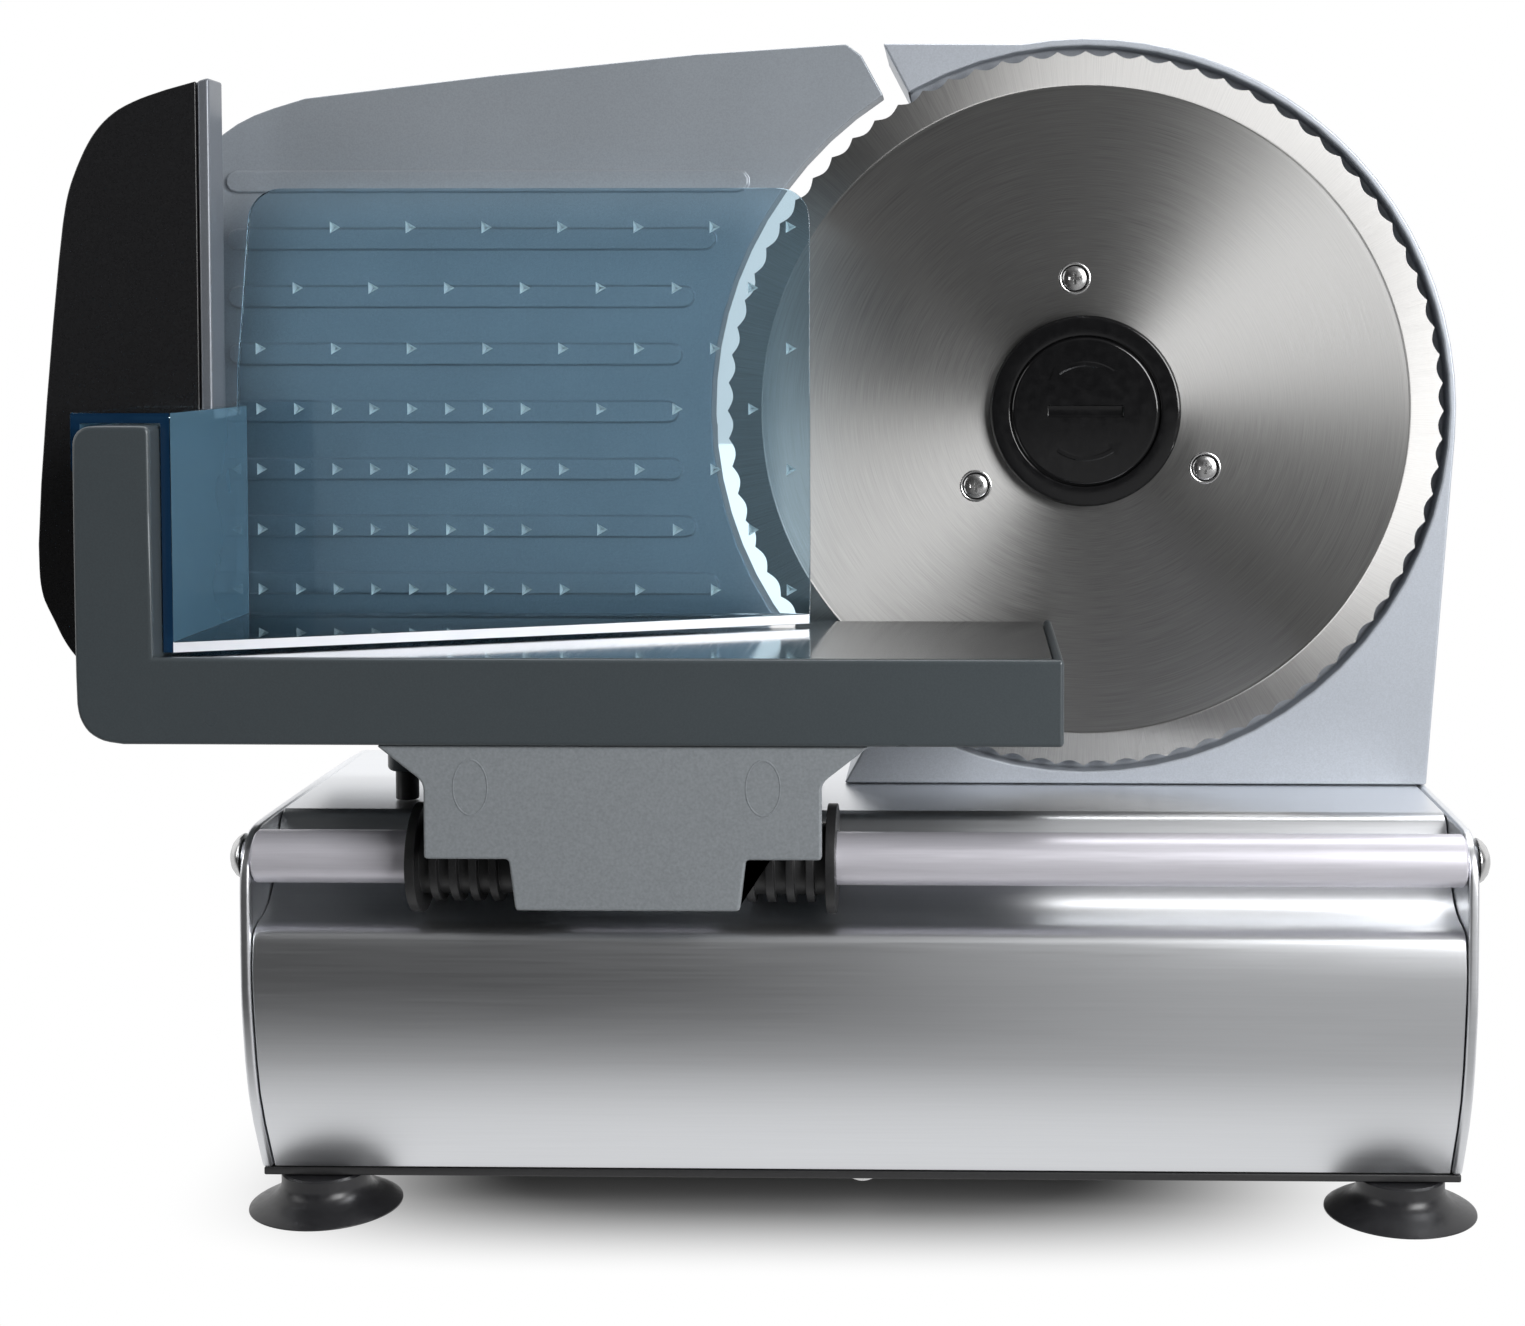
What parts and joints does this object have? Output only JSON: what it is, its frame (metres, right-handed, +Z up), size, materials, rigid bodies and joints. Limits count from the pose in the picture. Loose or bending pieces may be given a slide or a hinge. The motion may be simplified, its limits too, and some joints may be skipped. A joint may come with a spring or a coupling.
{
  "type": "electric food slicer",
  "caption": "Electric food slicer with a 190 mm serrated round blade, a sliding carriage on a rail, a clear blue food pusher and an adjustable guide plate.",
  "frame": {"origin": "centre of the whole machine's box, on the worktop", "axes": "+X to the right seen from the front, +Y from the front to the back, +Z up"},
  "size_m": [0.3696, 0.1732, 0.2982],
  "materials": {
    "silver_paint": "satin",
    "guide_paint": "satin",
    "silver_plastic": "satin",
    "graphite_plastic": "satin",
    "satin_sheet": "satin",
    "rail_steel": "polished",
    "tray_steel": "polished",
    "blade_steel": "brushed",
    "screw_steel": "polished",
    "black_plastic": "satin",
    "gloss_black": "gloss",
    "black_rubber": "matte",
    "blue_clear": "clear gloss",
    "nylon": "satin",
    "bronze": "satin",
    "copper": "satin",
    "dark_steel": "satin"
  },
  "bodies": {
    "base": {"base_cover": "satin_sheet", "left_end_plate": "satin_sheet", "right_end_plate": "satin_sheet", "bottom_plate": "black_plastic", "suction_foot_front_left": "black_rubber", "suction_foot_front_right": "black_rubber", "suction_foot_rear_left": "black_rubber", "suction_foot_rear_right": "black_rubber", "bottom_screw": "screw_steel", "guide_rail": "rail_steel", "rail_screw_left": "screw_steel", "rail_screw_right": "screw_steel", "blade_housing": "silver_paint", "gear_cover": "silver_paint", "gear_cover_screw_1": "screw_steel", "gear_cover_screw_2": "screw_steel", "gear_cover_screw_3": "screw_steel", "spindle_bush": "bronze", "worm_bearing": "bronze", "motor_can": "dark_steel", "motor_cap": "black_plastic", "motor_stator": "dark_steel", "motor_bracket": "dark_steel", "rod_support": "dark_steel", "guide_rod_left": "screw_steel", "guide_rod_right": "screw_steel", "switch_body": "black_plastic", "cord_gland": "black_rubber"},
    "blade": {"blade": "blade_steel", "blade_screw_1": "screw_steel", "blade_screw_2": "screw_steel", "blade_screw_3": "screw_steel", "blade_carrier": "black_plastic", "blade_hub": "gloss_black", "blade_spindle": "dark_steel", "blade_gear": "nylon"},
    "blade_lock": {"blade_lock": "gloss_black"},
    "motor_rotor": {"worm_shaft": "screw_steel", "motor_commutator": "copper", "motor_armature": "copper", "motor_fan": "black_plastic"},
    "carriage": {"carriage_frame": "graphite_plastic", "tray_plate": "tray_steel", "slider_bracket": "silver_plastic", "slider_bush_left": "black_plastic", "slider_bush_right": "black_plastic", "glide_foot_left": "black_plastic", "glide_foot_right": "black_plastic", "thumb_guard": "silver_plastic", "thumb_guard_face": "black_plastic"},
    "pusher": {"food_pusher": "blue_clear"},
    "guide": {"guide_plate": "guide_paint", "guide_carrier": "guide_paint", "guide_screw_1": "screw_steel", "guide_screw_2": "screw_steel", "follower_pin": "screw_steel"},
    "knob": {"thickness_knob": "black_plastic", "cam_spindle": "nylon"},
    "rocker": {"switch_rocker": "gloss_black"}
  },
  "joints": [
    {"name": "blade_spin", "type": "hinge", "parent": "base", "child": "blade", "pos_m": [0.0866, -0.00665, 0.2], "axis": [0, 1, 0], "continuous": true},
    {"name": "motor_spin", "type": "hinge", "parent": "base", "child": "motor_rotor", "pos_m": [0.1296, 0.01635, 0.06], "axis": [0, 0, 1], "continuous": true},
    {"name": "blade_lock_turn", "type": "hinge", "parent": "blade", "child": "blade_lock", "pos_m": [0.0866, -0.00665, 0.2], "axis": [0, 1, 0], "range_deg": [0, 90]},
    {"name": "carriage_slide", "type": "slide", "parent": "base", "child": "carriage", "axis": [1, 0, 0], "range_m": [-0.03, 0.15]},
    {"name": "pusher_slide", "type": "slide", "parent": "carriage", "child": "pusher", "axis": [0, -1, 0], "range_m": [0, 0.045]},
    {"name": "guide_slide", "type": "slide", "parent": "base", "child": "guide", "axis": [0, 1, 0], "range_m": [0, 0.015]},
    {"name": "knob_turn", "type": "hinge", "parent": "base", "child": "knob", "pos_m": [-0.0384, 0.07735, 0.052], "axis": [0, 1, 0], "range_deg": [0, 300]},
    {"name": "switch_rock", "type": "hinge", "parent": "base", "child": "rocker", "pos_m": [0.0566, 0.06785, 0.042], "axis": [1, 0, 0], "range_deg": [0, 16]}
  ],
  "couplings": [
    {"joint": "motor_spin", "follows": "blade_spin", "ratio": 36},
    {"joint": "knob_turn", "follows": "guide_slide", "rad_per_m": 349.07}
  ]
}
